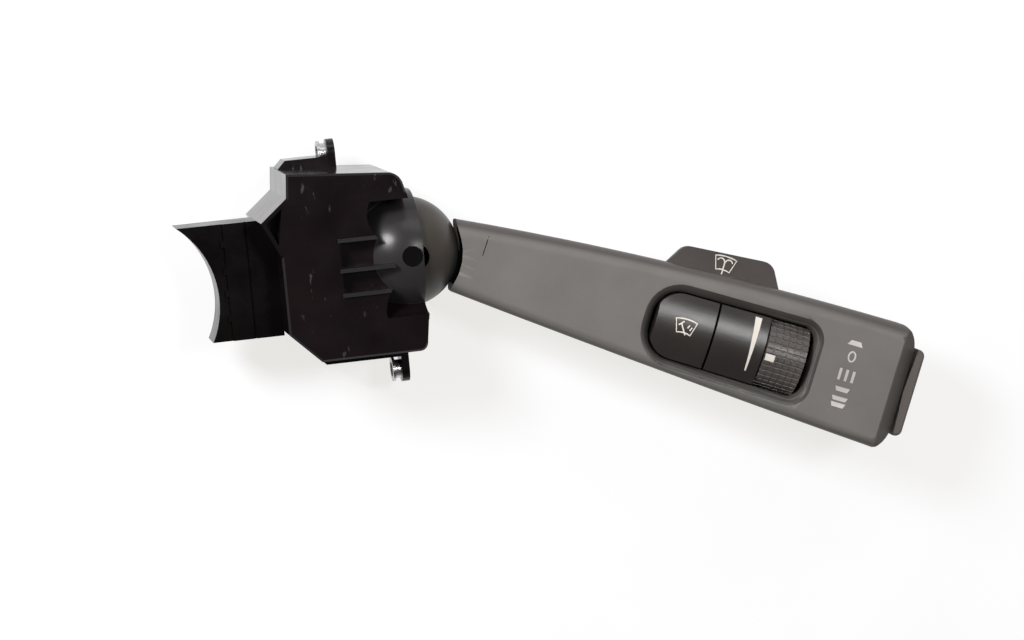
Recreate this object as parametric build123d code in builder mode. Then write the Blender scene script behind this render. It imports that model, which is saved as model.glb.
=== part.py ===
from build123d import *
import os
from math import cos, radians, sin, sqrt, tan

# Combination stalk switch: wiper lever on a ball joint, with its switch housing.
#
# Millimetres. The switch lies on its back. +Z comes out of the front cover, towards the driver.
# +X leads from the steering column out along the lever side, and +Y is up as fitted. The origin
# is the foot of the lever's up-and-down pivot axis on the rear face.

# ---------------------------------------------------------------- driving dimensions: housing
pivot_height = 21.0        # centre of the ball above the rear face
front_height = 18.6        # front plate above the centre of the ball
parting_drop = 4.7         # joint of cover and case below the centre of the ball
wall = 2.0                 # housing wall
left_reach = 36.8          # pivot axis to the left wall
top_reach = 26.6           # pivot axis to the top wall at its left end
top_fall = 2.6             # how much the top wall drops towards the lever
bottom_reach = 26.8        # pivot axis to the bottom wall
bottom_right = 1.7         # lower right corner
corner_cut = 8.5           # chamfer at the lower left corner
ear_reach = 4.9            # ear tip beyond the left wall
ear_tip_y = 13.7
ear_foot_y = 3.5
ear_top_y = 20.0
ear_depth = 6.6            # recess in the ear below the plate
mouth_x = 3.2              # rim of the socket, beside the pivot axis
upper_corner_r = 4.5
lower_corner_r = 2.3
edge_break = 0.6           # softened outer edges of the mouldings

# ---------------------------------------------------------------- driving dimensions: ball joint
ball_r = 15.9
ball_wall = 1.5
ball_back = 7.0            # open rear end of the ball behind its centre
socket_gap = 0.6           # ball to socket
socket_wall = 1.5
socket_back = 12.0         # open rear end of the socket behind the pivot axis
journal_r = 2.9
running_gap = 0.05         # radial clearance of every shaft in its hole
pole_slot = 7.4            # width of the ball's slots for the journals
pole_slot_reach = 2.6      # centre of the slots' round ends
cross_pin_r = 1.6

# ---------------------------------------------------------------- driving dimensions: front plate
opening_top = 16.6         # edge of the plate's opening round the socket, above the axis
opening_bottom = 16.5
well_floor = 7.5           # floor of the well round the socket, above the ball's centre
well_wall = 1.6
pocket_depth = 4.0
rib_left = 20.9            # left ends of the ribs
rib_width = 1.1
rib_rise = 0.7             # ribs above the plate
rib_rows = (6.6, -1.9, -8.8)

# ---------------------------------------------------------------- driving dimensions: fastening
screw_insets = [(6.4, 6.2), (5.8, 10.0), (5.9, 7.3), (5.1, 5.0)]  # cover screws in from the walls
screw_shank_r = 1.3
screw_head_r = 2.7
screw_head_height = 1.8
boss_r = 3.3
head_recess = 2.4          # counterbores for the cover screws
screw_hole_depth = 11.0    # in the front cover, from its joint with the case
screw_end_gap = 1.1        # end of each cover screw to the bottom of its hole
driver_r = 1.3             # driver recess in the screw heads
driver_depth = 1.0
bracket_bottom = 6.0       # lower edge of the bracket strips above the rear face
upper_strip_inset = 3.9    # left end of the upper strip, in from the left wall
upper_strip_right = -16.1
upper_strip_rise = 2.3     # outer edge of the upper strip above the housing's top
lower_strip_inset = 10.2
lower_strip_right = -0.6
lower_strip_rise = 3.8
strip_cut = 2.2            # chamfer on the strips' left ends
lug_thickness = 2.2
lug_hole_height = 12.5     # centre of the lug holes above the rear face
lug_wall = 1.1
bush_r = 2.7               # outside of the steel bushes
bush_bore_r = 2.2
bush_length = 4.8
bush_flange_r = 3.5
bush_flange_thickness = 0.8
upper_lug_rise = 1.0       # screw eyes beyond the outer edges of the strips
lower_lug_rise = 3.9

# ---------------------------------------------------------------- driving dimensions: saddle
column_x = 80.9            # steering column axis to the pivot axis
column_y = -7.3
jacket_r = 26.8            # radius of the seat on the steering column
saddle_top = 13.7
saddle_bottom = -19.5
saddle_front = 6.0         # front face above the centre of the ball
saddle_back = 8.6          # rear edge below the centre of the ball
saddle_wall = 2.2
saddle_step_x = 51.3       # step across the front face
saddle_step = 0.8
saddle_groove_x = 45.0
saddle_groove = 0.6
saddle_ribs = (8.0, 0.3, -6.0, -13.2)

# ---------------------------------------------------------------- driving dimensions: electrics
board_z = 10.0             # underside of the circuit board above the rear face
board_thickness = 1.6
plug_x = 18.2              # centre of the plug socket
plug_y = 19.4
plug_width = 15.5
plug_height = 7.2
plug_wall = 1.5
pin_pitch = 2.54
pin_size = 0.64
pin_grid = (6, 2)
pin_tip_z = 5.0
track_thickness = 0.2
slider_gap = 0.3
slider_size = (8.5, 10.0, 1.5)
finger_r = 16.0            # slider pin to the pivot axis
finger_angle = 186.25      # direction of the finger at rest
slider_pin_r = 1.0
blade_thickness = 0.15
fit_gap = 0.1              # clearance of fixed pieces in each other
bearing_floor = 1.6        # bottom of the rear bearing above the rear face
post_r = 1.6
board_posts = [(-32.0, -1.0), (-17.5, 7.5), (-15.5, -11.5)]

# ---------------------------------------------------------------- driving dimensions: lever
lever_droop = 22.3         # lever below the X axis at rest, degrees
lever_rise = 4.0           # lever leans towards the driver, degrees
base_gap = 1.8             # ball to the open end of the shells
shell_wall = 1.8
shell_joint = -1.0         # joint of the lever shells, along the lever's thickness
shell_end = 150.4
shell_end_r = 8.0
core_half = 4.5            # half the width of the lever core
core_end = 60.0
tail_half = (3.4, 2.8)
tail_end = 20.5
tail_window_top = 5.0      # window in the socket for the tail, above the ball's centre
tail_window_low = 7.0      # and below it
plunger_r = 1.8
plunger_tip = 24.0
cam_gap = 0.25
cam_depth = 3.6
detent_depth = 0.7
detent_r = 2.1
cam_top = 4.0
frame_thickness = 7.0
frame_half = (9.5, 10.5)
frame_hole = (6.0, 6.8)
journal_end_gap = 0.4
arm_start = 2.5
arm_half = 1.5
arm_thickness = 1.5
core_back = 3.6
core_pocket = 2.6
core_pocket_length = 12.0
core_pocket_places = (41.0,)
core_screws = (30.0, 52.0)
spring_length = 6.0
spring_turns = 4
spring_r = 1.35
spring_wire_r = 0.2
plunger_length = 8.0
detent_angles = (7.0, 0.0, -6.5, -13.0, -19.5)
wing_thickness = 2.5
wing_points = [(73.0, 16.4), (77.9, 24.6), (104.2, 26.8), (109.4, 17.6)]
wing_r = 4.0
lever_stations = [          # along, upper edge, lower edge, front, rear, rear corner radius
    (6.0, 12.4, -6.2, 6.3, 6.8, 4.6),
    (61.0, 17.7, -10.5, 7.6, 10.6, 7.5),
    (118.0, 20.3, -14.3, 8.9, 14.0, 10.0),
    (153.0, 20.7, -16.3, 9.1, 14.2, 10.0),
]
upper_edge_r = 4.4
lower_edge_r = 2.9
tip_front = 9.1
tip_rear = 14.2
tip_screw_x = 133.0
tip_screw_y = 3.0
shell_boss_r = 3.0
screw_grip = 6.0           # screws beyond the joint of the shells
collar_depth = 4.6
collar_wall = 2.4
window_inner = (73.2, 120.9)
window_left_r = 8.0
window_right_r = 4.0
window_bevel_z = 6.4
window_bevel = 25.0
carrier_z = -2.8
carrier_floor = 1.6
carrier_wall = 1.5
carrier_bar = 3.0          # bar that joins the rails beside the wheel to the carrier's floor
carrier_left = 68.0
carrier_width = 20.5
carrier_posts = [(72.0, 1.75), (103.0, 1.75)]
lever_board_thickness = 1.4
button_low = 3.0
button_gap = 0.35
tooth_r = 0.32
rocker_z = -0.5
rocker_pad_z = -0.7
rocker_stem = (7.0, 3.6)
rocker_pin_r = 1.0
rocker_pin_top = 3.0
rocker_pin_low = -6.0
control_y = 1.75           # centre line of the button, bridge and wheel
wheel_r = 10.8
wheel_z = -0.4             # wheel axle, along the lever's thickness
wheel_start = 107.4
wheel_width = 11.9
wheel_teeth = 40
wheel_rings = 5            # ring grooves across the grip
ring_width = 0.3
ring_depth = 0.25
wheel_rim = 2.2
wheel_hub = 1.8
wheel_dish = 3.0           # hollow in the side of the wheel
wheel_gap = 0.45
click_blade = 0.4          # thickness of the click spring
click_seat = 0.3           # depth of its seat in the carrier
axle_r = 1.5
window_left = 71.6
window_right = 121.9
button_left = 74.3
button_right = 91.2
bridge_left = 91.9
bridge_crown_r = 24.0      # crown of the button and the bridge across the lever
bridge_crown_z = 9.2
button_travel = 1.2
rocker_x = 146.4           # rocker pin along the lever
rocker_y = 2.0
rocker_half = 13.0
rocker_gap = 0.4           # rocker to the end of the shells
rocker_thickness = 3.2
rocker_height = 11.0
rocker_corner_r = 2.0
rocker_edge = 0.7
rocker_throw = 4.0         # degrees to each side

# ---------------------------------------------------------------- derived places
plate_z = pivot_height + front_height
parting_z = pivot_height - parting_drop
socket_inner_r = ball_r + socket_gap
socket_outer_r = socket_inner_r + socket_wall
shroud_width = plug_width + 2 * plug_wall
shroud_height = plug_height + 2 * plug_wall
top_right_x = 1.7
housing_points = [
    (-left_reach + 3.4, top_reach),
    (-top_right_x, top_reach - top_fall),
    (1.1, 12.9),
    (mouth_x, -4.8),
    (mouth_x, -15.7),
    (bottom_right, -bottom_reach),
    (-left_reach + corner_cut, -bottom_reach),
    (-left_reach, -bottom_reach + corner_cut),
    (-left_reach, ear_foot_y),
    (-left_reach - ear_reach, ear_tip_y),
    (-left_reach + 2.8, ear_top_y),
]
screw_places = [
    (-left_reach + screw_insets[0][0], top_reach - screw_insets[0][1]),
    (-left_reach + screw_insets[1][0], -bottom_reach + screw_insets[1][1]),
    (-top_right_x - screw_insets[2][0], top_reach - screw_insets[2][1]),
    (bottom_right - screw_insets[3][0], -bottom_reach + screw_insets[3][1]),
]
upper_strip = (-left_reach + upper_strip_inset, upper_strip_right, top_reach + upper_strip_rise)
lower_strip = (-left_reach + lower_strip_inset, lower_strip_right, -bottom_reach - lower_strip_rise)
upper_lug_y = upper_strip[2] + upper_lug_rise
lower_lug_y = lower_strip[2] - lower_lug_rise
well_blend_r = front_height - well_floor     # hollow blend at the lower end of the well

droop = radians(lever_droop)
lever_flat = Plane(origin=(0, 0, pivot_height), x_dir=(cos(droop), -sin(droop), 0), z_dir=(0, 0, 1))
rise = radians(lever_rise)
lever_forward = Vector(cos(droop) * cos(rise), -sin(droop) * cos(rise), sin(rise))
lever_across = Vector(sin(droop), cos(droop), 0)
lever_plane = Plane(
    origin=(0, 0, pivot_height), x_dir=lever_forward, z_dir=lever_forward.cross(lever_across)
)

cross_plane = Plane(origin=(0, 0, pivot_height), x_dir=(0, 0, 1), z_dir=lever_across)
side_plane = Plane(origin=(0, 0, pivot_height), x_dir=lever_forward, z_dir=-lever_across)


def lever_point(along, across, up):
    """Point given along, across and through the thickness of the lever."""
    return lever_plane.origin + lever_forward * along + lever_across * across + lever_plane.z_dir * up


def lever_station(along):
    """Plane across the lever: its X runs across the lever, its Y through the thickness."""
    return Plane(origin=lever_point(along, 0, 0), x_dir=lever_across, z_dir=lever_forward)


os.makedirs("parts", exist_ok=True)


def finish(part, name):
    """Label a finished piece and write it under its own name."""
    part.label = name
    export_step(part, f"parts/{name}.step")


def top_wall_y(x):
    """Height of the sloping top wall at x."""
    left, right = housing_points[0], housing_points[1]
    return left[1] + (right[1] - left[1]) * (x - left[0]) / (right[0] - left[0])


# ================================================================ outlines used by several pieces
with BuildSketch() as housing_outline:
    with BuildLine():
        Polyline(*housing_points, close=True)
    make_face()
    fillet(housing_outline.vertices().sort_by_distance(housing_points[1])[0], upper_corner_r)
    fillet(housing_outline.vertices().sort_by_distance(housing_points[5])[0], lower_corner_r)

with BuildSketch() as housing_inside:
    add(housing_outline.sketch)
    offset(amount=-wall, kind=Kind.INTERSECTION)

def opening_outline(margin):
    """Opening of the plate round the socket, drawn out by margin; its left edge is a wavy curve."""
    top, low = opening_top + margin, -opening_bottom - margin
    with BuildSketch() as outline:
        with BuildLine():
            wave = Spline(
                (-10.9 - margin, top), (-9.7 - margin, 6.6), (-6.0 - margin, 1.2),
                (-5.4 - margin, -4.8), (-8.6 - margin, -12.4), (-8.7 - margin, low),
            )
            Polyline(wave @ 1, (mouth_x + 3, low), (mouth_x + 3, top), wave @ 0)
        make_face()
        add(housing_outline.sketch, mode=Mode.INTERSECT)
    return outline.sketch


# The lever's tail swings out through a window in the back of the socket.
tail_swing = radians(180 - lever_droop + min(detent_angles))
tail_edge = sqrt(ball_r**2 - tail_half[0] ** 2)
tail_window_x = tail_edge * cos(tail_swing) + tail_half[0] * sin(tail_swing) + socket_gap
with BuildPart() as tail_window:
    with Locations((tail_window_x, 0, pivot_height - tail_window_low)):
        Box(
            socket_outer_r, 2 * socket_outer_r, tail_window_low + tail_window_top,
            align=(Align.MAX, Align.CENTER, Align.MIN),
        )


# ================================================================ front cover
with BuildPart() as cover_socket:
    with BuildSketch(Plane.XZ):
        with BuildLine():
            CenterArc((0, pivot_height), socket_outer_r, 0, 90)
            Line((0, pivot_height + socket_outer_r), (0, parting_z))
            Line((0, parting_z), (socket_outer_r, parting_z))
            Line((socket_outer_r, parting_z), (socket_outer_r, pivot_height))
        make_face()
    revolve(axis=Axis.Z)
    split(bisect_by=Plane.YZ.offset(-socket_back), keep=Keep.TOP)
    split(bisect_by=Plane.YZ.offset(mouth_x), keep=Keep.BOTTOM)
    add(tail_window.part, mode=Mode.SUBTRACT)

with BuildPart() as front_cover:
    with BuildSketch(Plane.XY.offset(parting_z)):
        add(housing_outline.sketch)
    extrude(amount=plate_z - parting_z)
    chamfer(front_cover.faces().sort_by(Axis.Z)[-1].edges(), edge_break)
    with BuildSketch(Plane.XY.offset(parting_z)):
        add(housing_inside.sketch)
    extrude(amount=plate_z - wall - parting_z, mode=Mode.SUBTRACT)

    # well round the socket, with the pockets between the three ribs beside it
    with BuildSketch(Plane.XY.offset(pivot_height + well_floor - well_wall)):
        add(opening_outline(well_wall))
    extrude(amount=front_height - well_floor + well_wall)
    pocket_top, pocket_low = rib_rows[0] + rib_width, rib_rows[-1] - rib_width
    with BuildSketch(Plane.XY.offset(plate_z - pocket_depth - well_wall)):
        with Locations((-rib_left / 2 - 3, (pocket_top + pocket_low) / 2)):
            Rectangle(rib_left - 4, pocket_top - pocket_low)
    extrude(amount=pocket_depth + well_wall)
    with BuildSketch(Plane.XY.offset(plate_z - pocket_depth)):
        for upper, lower in zip(rib_rows, rib_rows[1:]):
            with Locations((-rib_left / 2, (upper + lower) / 2)):
                Rectangle(rib_left - 1.2, upper - lower - rib_width)
    extrude(amount=pocket_depth, mode=Mode.SUBTRACT)
    with BuildSketch(Plane.XY.offset(plate_z - pocket_depth)):
        for row in rib_rows:
            with Locations((-rib_left / 2, row)):
                Rectangle(rib_left, rib_width)
    extrude(amount=pocket_depth + rib_rise)

    # recess in the ear, over its own floor
    with BuildSketch(Plane.XY.offset(plate_z - ear_depth - wall)) as ear_floor:
        with BuildLine():
            Polyline(*housing_points[8:11], close=True)
        make_face()
        add(housing_outline.sketch, mode=Mode.INTERSECT)
    extrude(amount=ear_depth + wall)
    with BuildSketch(Plane.XY.offset(plate_z - ear_depth)):
        add(ear_floor.sketch_local)
        offset(amount=-1.1, kind=Kind.INTERSECTION)
    extrude(amount=ear_depth, mode=Mode.SUBTRACT)

    # bosses for the cover screws
    with BuildSketch(Plane.XY.offset(parting_z)):
        with Locations(*screw_places):
            Circle(boss_r)
        add(housing_outline.sketch, mode=Mode.INTERSECT)
    extrude(amount=plate_z - wall / 2 - parting_z)

    # opening down to the well's floor, then the socket
    with BuildSketch(Plane.XY.offset(pivot_height + well_floor)):
        add(opening_outline(0))
    extrude(amount=front_height - well_floor + rib_rise, mode=Mode.SUBTRACT)
    with BuildSketch(Plane.YZ.offset(-11.0)):
        with Locations((-opening_bottom, pivot_height + well_floor)):
            Rectangle(well_blend_r, well_blend_r, align=(Align.MIN, Align.MIN))
        with Locations((-opening_bottom + well_blend_r, pivot_height + well_floor + well_blend_r)):
            Circle(well_blend_r, mode=Mode.SUBTRACT)
    extrude(amount=11.0 + mouth_x)
    add(cover_socket.part)
    with BuildSketch(Plane.XZ):
        with BuildLine():
            CenterArc((0, pivot_height), socket_inner_r, 0, 90)
            Line((0, pivot_height + socket_inner_r), (0, parting_z))
            Line((0, parting_z), (socket_inner_r, parting_z))
            Line((socket_inner_r, parting_z), (socket_inner_r, pivot_height))
        make_face()
    revolve(axis=Axis.Z, mode=Mode.SUBTRACT)
    with Locations((0, 0, pivot_height)):
        Cylinder(
            journal_r + running_gap, socket_outer_r + 1,
            align=(Align.CENTER, Align.CENTER, Align.MIN), mode=Mode.SUBTRACT,
        )
    with Locations(*[(x, y, parting_z) for x, y in screw_places]):
        Cylinder(
            screw_shank_r, screw_hole_depth,
            align=(Align.CENTER, Align.CENTER, Align.MIN), mode=Mode.SUBTRACT,
        )
finish(front_cover.part, "front_cover")


# ================================================================ rear case
with BuildPart() as case_socket:
    with Locations((0, 0, pivot_height)):
        Sphere(socket_outer_r)
    Cylinder(journal_r + 2.6, 4.0 + wall / 2, align=(Align.CENTER, Align.CENTER, Align.MIN))
    split(bisect_by=Plane.XY.offset(parting_z), keep=Keep.BOTTOM)
    split(bisect_by=Plane.YZ.offset(-socket_back), keep=Keep.TOP)
    split(bisect_by=Plane.YZ.offset(mouth_x), keep=Keep.BOTTOM)
    add(tail_window.part, mode=Mode.SUBTRACT)

with BuildPart() as rear_case:
    with BuildSketch():
        add(housing_outline.sketch)
    extrude(amount=parting_z)
    chamfer(rear_case.faces().sort_by(Axis.Z)[0].edges(), edge_break)
    with BuildSketch(Plane.XY.offset(wall)):
        add(housing_inside.sketch)
    extrude(amount=parting_z - wall, mode=Mode.SUBTRACT)
    add(case_socket.part)
    with BuildSketch():
        with Locations(*screw_places):
            Circle(boss_r)
        add(housing_outline.sketch, mode=Mode.INTERSECT)
    extrude(amount=parting_z)
    with BuildSketch(Plane.XY.offset(wall)):
        with Locations(*board_posts):
            Circle(post_r)
    extrude(amount=board_z - wall)
    with Locations((0, 0, pivot_height)):
        Sphere(socket_inner_r, mode=Mode.SUBTRACT)
    with Locations((0, 0, bearing_floor)):
        Cylinder(
            journal_r + running_gap, wall + 4, align=(Align.CENTER, Align.CENTER, Align.MIN),
            mode=Mode.SUBTRACT,
        )
    with BuildSketch():
        with Locations((-plug_x, -plug_y)):
            Rectangle(shroud_width + 2 * fit_gap, shroud_height + 2 * fit_gap)
    extrude(amount=wall, mode=Mode.SUBTRACT)
    with Locations(*[Location((x, y, 0), (180, 0, 0)) for x, y in screw_places]):
        CounterBoreHole(screw_shank_r + 0.25, screw_head_r + 0.3, head_recess, parting_z)
finish(rear_case.part, "rear_case")

with BuildPart() as cover_screws:
    with Locations(*[(x, y, head_recess - screw_head_height) for x, y in screw_places]):
        Cylinder(screw_head_r, screw_head_height, align=(Align.CENTER, Align.CENTER, Align.MIN))
        Cylinder(
            screw_shank_r - fit_gap,
            parting_z + screw_hole_depth - screw_end_gap - head_recess + screw_head_height,
            align=(Align.CENTER, Align.CENTER, Align.MIN),
        )
        Cylinder(
            driver_r, driver_depth, align=(Align.CENTER, Align.CENTER, Align.MIN), mode=Mode.SUBTRACT
        )
finish(cover_screws.part, "cover_screws")


# ================================================================ brackets and bushes
def bracket(strip, lug_y, side):
    """Strip on the top (side 1) or bottom (side -1) wall, with its lug at the right end."""
    left, right, edge = strip
    foot = [(x, top_wall_y(x) if side > 0 else -bottom_reach) for x in (left, right)]
    with BuildPart() as piece:
        with BuildSketch(Plane.XY.offset(bracket_bottom)):
            with BuildLine():
                Polyline(
                    foot[0], (left, edge - side * strip_cut), (left + strip_cut, edge),
                    (right, edge), foot[1], close=True,
                )
            make_face()
        extrude(amount=parting_z - bracket_bottom)
        with BuildSketch(Plane.YZ.offset(right - lug_thickness)):
            with Locations((lug_y, lug_hole_height)):
                Circle(bush_r + lug_wall)
            with Locations(((lug_y + edge - side) / 2, lug_hole_height)):
                Rectangle(abs(lug_y - edge) + 1, 2 * (bush_r + lug_wall))
        extrude(amount=lug_thickness)
        with BuildSketch(Plane.YZ.offset(right - lug_thickness)):
            with Locations((lug_y, lug_hole_height)):
                Circle(bush_r + fit_gap / 2)
        extrude(amount=lug_thickness, mode=Mode.SUBTRACT)
        with BuildSketch(Plane.YZ.offset(right - bush_length - fit_gap)):
            with Locations((lug_y, lug_hole_height)):
                Circle(bush_flange_r + fit_gap)
        extrude(amount=bush_length - lug_thickness + fit_gap, mode=Mode.SUBTRACT)
    return piece.part


def bush(strip, lug_y):
    """Steel bush in a lug, with its flange on the column side."""
    right = strip[1]
    with BuildPart() as piece:
        with BuildSketch(Plane.YZ.offset(right - bush_length)):
            with Locations((lug_y, lug_hole_height)):
                Circle(bush_r)
        extrude(amount=bush_length)
        with BuildSketch(Plane.YZ.offset(right - bush_length)):
            with Locations((lug_y, lug_hole_height)):
                Circle(bush_flange_r)
        extrude(amount=bush_flange_thickness)
        with BuildSketch(Plane.YZ.offset(right - bush_length)):
            with Locations((lug_y, lug_hole_height)):
                Circle(bush_bore_r)
        extrude(amount=bush_length, mode=Mode.SUBTRACT)
    return piece.part


finish(bracket(upper_strip, upper_lug_y, 1), "upper_bracket")
finish(bracket(lower_strip, lower_lug_y, -1), "lower_bracket")
finish(bush(upper_strip, upper_lug_y), "upper_bush")
finish(bush(lower_strip, lower_lug_y), "lower_bush")


# ================================================================ column saddle
with BuildSketch() as saddle_outline:
    with BuildLine():
        Polyline(
            (-column_x, saddle_bottom), (-left_reach, saddle_bottom),
            (-left_reach, saddle_top), (-column_x, saddle_top), close=True,
        )
    make_face()
    with Locations((-column_x, column_y)):
        Circle(jacket_r, mode=Mode.SUBTRACT)
    add(housing_outline.sketch, mode=Mode.SUBTRACT)

with BuildPart() as column_saddle:
    with BuildSketch(Plane.XY.offset(pivot_height - saddle_back)):
        add(saddle_outline.sketch)
    extrude(amount=saddle_back + saddle_front)
    with BuildSketch(Plane.XY.offset(pivot_height - saddle_back)):
        add(saddle_outline.sketch)
        offset(amount=-saddle_wall, kind=Kind.INTERSECTION)
    extrude(amount=saddle_back + saddle_front - saddle_step - saddle_wall, mode=Mode.SUBTRACT)
    with BuildSketch(Plane.XY.offset(pivot_height + saddle_front - saddle_step)):
        with Locations((-saddle_step_x, (saddle_top + saddle_bottom) / 2)):
            Rectangle(40, 60, align=(Align.MAX, Align.CENTER))
    extrude(amount=saddle_step, mode=Mode.SUBTRACT)
    with BuildSketch(Plane.XY.offset(pivot_height + saddle_front - saddle_step)):
        for row in saddle_ribs:
            with Locations((-saddle_step_x, row)):
                Rectangle(1.0, 1.8, align=(Align.MAX, Align.CENTER))
    extrude(amount=saddle_step)
    with BuildSketch(Plane.XY.offset(pivot_height + saddle_front - saddle_groove)):
        with Locations((-saddle_groove_x, (saddle_top + saddle_bottom) / 2)):
            Rectangle(saddle_groove, 60)
    extrude(amount=saddle_groove, mode=Mode.SUBTRACT)
finish(column_saddle.part, "column_saddle")


# ================================================================ circuit board, plug socket, contacts
board_left = -left_reach + wall + 0.6
board_low = -bottom_reach + wall + 0.6
board_right = -socket_back - 1.0
board_top_z = board_z + board_thickness
plug_centre = (-plug_x, -plug_y)

with BuildPart() as circuit_board:
    with BuildSketch(Plane.XY.offset(board_z)):
        with BuildLine():
            Polyline(
                (board_left, 1.8), (board_right - 8.6, 1.8), (board_right - 8.6, 9.6),
                (board_right, 9.6), (board_right, -17.0), (board_right + 4, -17.0),
                (board_right + 4, board_low), (board_left + corner_cut - 1.9, board_low),
                (board_left, board_low + corner_cut - 1.9), close=True,
            )
        make_face()
        with Locations(*screw_places):
            Circle(boss_r + 3 * fit_gap, mode=Mode.SUBTRACT)
        with Locations(plug_centre):
            with GridLocations(pin_pitch, pin_pitch, *pin_grid):
                Rectangle(pin_size + fit_gap, pin_size + fit_gap, mode=Mode.SUBTRACT)
    extrude(amount=board_thickness)
finish(circuit_board.part, "circuit_board")

with BuildPart() as connector_shroud:
    with BuildSketch():
        with Locations(plug_centre):
            Rectangle(shroud_width, shroud_height)
    extrude(amount=board_z - slider_gap)
    with BuildSketch():
        with Locations(plug_centre):
            Rectangle(plug_width, plug_height)
    extrude(amount=board_z - slider_gap - plug_wall, mode=Mode.SUBTRACT)
    with BuildSketch():
        with Locations((-plug_x, -plug_y + plug_height / 2)):
            Rectangle(3.2, plug_wall, align=(Align.CENTER, Align.MIN))
    extrude(amount=3.0, mode=Mode.SUBTRACT)
    with BuildSketch(Plane.XY.offset(board_z - slider_gap - plug_wall)):
        with Locations(plug_centre):
            with GridLocations(pin_pitch, pin_pitch, *pin_grid):
                Rectangle(pin_size + fit_gap, pin_size + fit_gap)
    extrude(amount=plug_wall, mode=Mode.SUBTRACT)
finish(connector_shroud.part, "connector_shroud")

with BuildPart() as terminal_pins:
    with BuildSketch(Plane.XY.offset(pin_tip_z)):
        with Locations(plug_centre):
            with GridLocations(pin_pitch, pin_pitch, *pin_grid):
                Rectangle(pin_size, pin_size)
    extrude(amount=board_top_z + 0.8 - pin_tip_z)
finish(terminal_pins.part, "terminal_pins")

track_places = [(-finger_r - 2.7, 0), (-finger_r - 4.3, 0)]
with BuildPart() as fixed_contacts:
    with BuildSketch(Plane.XY.offset(board_top_z)):
        with Locations(*track_places):
            Rectangle(1.0, 18.0)
    extrude(amount=track_thickness)
finish(fixed_contacts.part, "fixed_contacts")

finger = radians(finger_angle)
slider_z = board_top_z + track_thickness + slider_gap
slider_y = finger_r * sin(finger)
slider_right = -finger_r + slider_pin_r + 0.8 + 1.2
with BuildPart() as contact_slider:
    with BuildSketch(Plane.XY.offset(slider_z)):
        with Locations((slider_right, slider_y)):
            Rectangle(slider_size[0], slider_size[1], align=(Align.MAX, Align.CENTER))
        fillet(vertices(), 0.8)
        with Locations((-finger_r + 0.2, slider_y)):
            Rectangle(
                2 * slider_pin_r + 1.2, 2 * slider_pin_r + 2 * slider_gap, mode=Mode.SUBTRACT
            )
    extrude(amount=slider_size[2])
finish(contact_slider.part, "contact_slider")

with BuildPart() as slider_contacts:
    with BuildSketch(Plane.XY.offset(slider_z - blade_thickness)):
        for x, _ in track_places:
            with Locations((x, slider_y)):
                Rectangle(0.8, 7.0)
    extrude(amount=blade_thickness)
finish(slider_contacts.part, "slider_contacts")


# ================================================================ detent cam
tail_angle = 180 - lever_droop
cam_inner_r = plunger_tip + cam_gap
with BuildPart() as detent_cam:
    with BuildSketch(Plane.XY.offset(wall)):
        Circle(cam_inner_r + cam_depth)
        Circle(cam_inner_r, mode=Mode.SUBTRACT)
        low = radians(tail_angle + max(detent_angles) + 8)
        high = radians(tail_angle + min(detent_angles) - 8)
        with BuildLine():
            Polyline(
                (0, 0), (60 * cos(low), 60 * sin(low)), (60 * cos(high), 60 * sin(high)), close=True
            )
        make_face(mode=Mode.INTERSECT)
        for angle in detent_angles:
            with PolarLocations(
                cam_inner_r + detent_depth - detent_r, 1, start_angle=tail_angle + angle
            ):
                Circle(detent_r, mode=Mode.SUBTRACT)
    extrude(amount=pivot_height + cam_top - wall)
finish(detent_cam.part, "detent_cam")


# ================================================================ pivot frame and cross pin
frame_r = ball_r - ball_wall - 0.4
finger_plane = Plane(
    origin=(0, 0, slider_z + slider_size[2] + slider_gap),
    x_dir=(cos(finger), sin(finger), 0), z_dir=(0, 0, 1),
)
with BuildPart(lever_flat) as frame_ring:
    Box(frame_thickness, 2 * frame_half[0], 2 * frame_half[1])
    Sphere(frame_r, mode=Mode.INTERSECT)
    Box(frame_thickness, 2 * frame_hole[0], 2 * frame_hole[1], mode=Mode.SUBTRACT)

with BuildPart() as pivot_frame:
    add(frame_ring.part)
    with BuildSketch(Plane.XY.offset(pivot_height + frame_hole[1] + 1)):
        Circle(journal_r)
    extrude(amount=socket_outer_r - frame_hole[1] - 1 - journal_end_gap)
    with BuildSketch(Plane.XY.offset(bearing_floor + journal_end_gap)):
        Circle(journal_r)
    extrude(amount=pivot_height - frame_hole[1] - 1 - bearing_floor - journal_end_gap)
    with BuildSketch(finger_plane):
        with Locations((arm_start, 0)):
            Rectangle(finger_r - arm_start, 2 * arm_half, align=(Align.MIN, Align.CENTER))
        with Locations((finger_r, 0)):
            Circle(arm_half)
    extrude(amount=arm_thickness)
    with BuildSketch(finger_plane):
        with Locations((finger_r, 0)):
            Circle(slider_pin_r)
    extrude(amount=-slider_size[2])
    with BuildSketch(cross_plane):
        Circle(cross_pin_r + fit_gap / 2)
    extrude(amount=ball_r, both=True, mode=Mode.SUBTRACT)
finish(pivot_frame.part, "pivot_frame")

with BuildPart() as cross_pin:
    with BuildSketch(cross_plane):
        Circle(cross_pin_r)
    extrude(amount=frame_half[0], both=True)
finish(cross_pin.part, "cross_pin")


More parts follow.
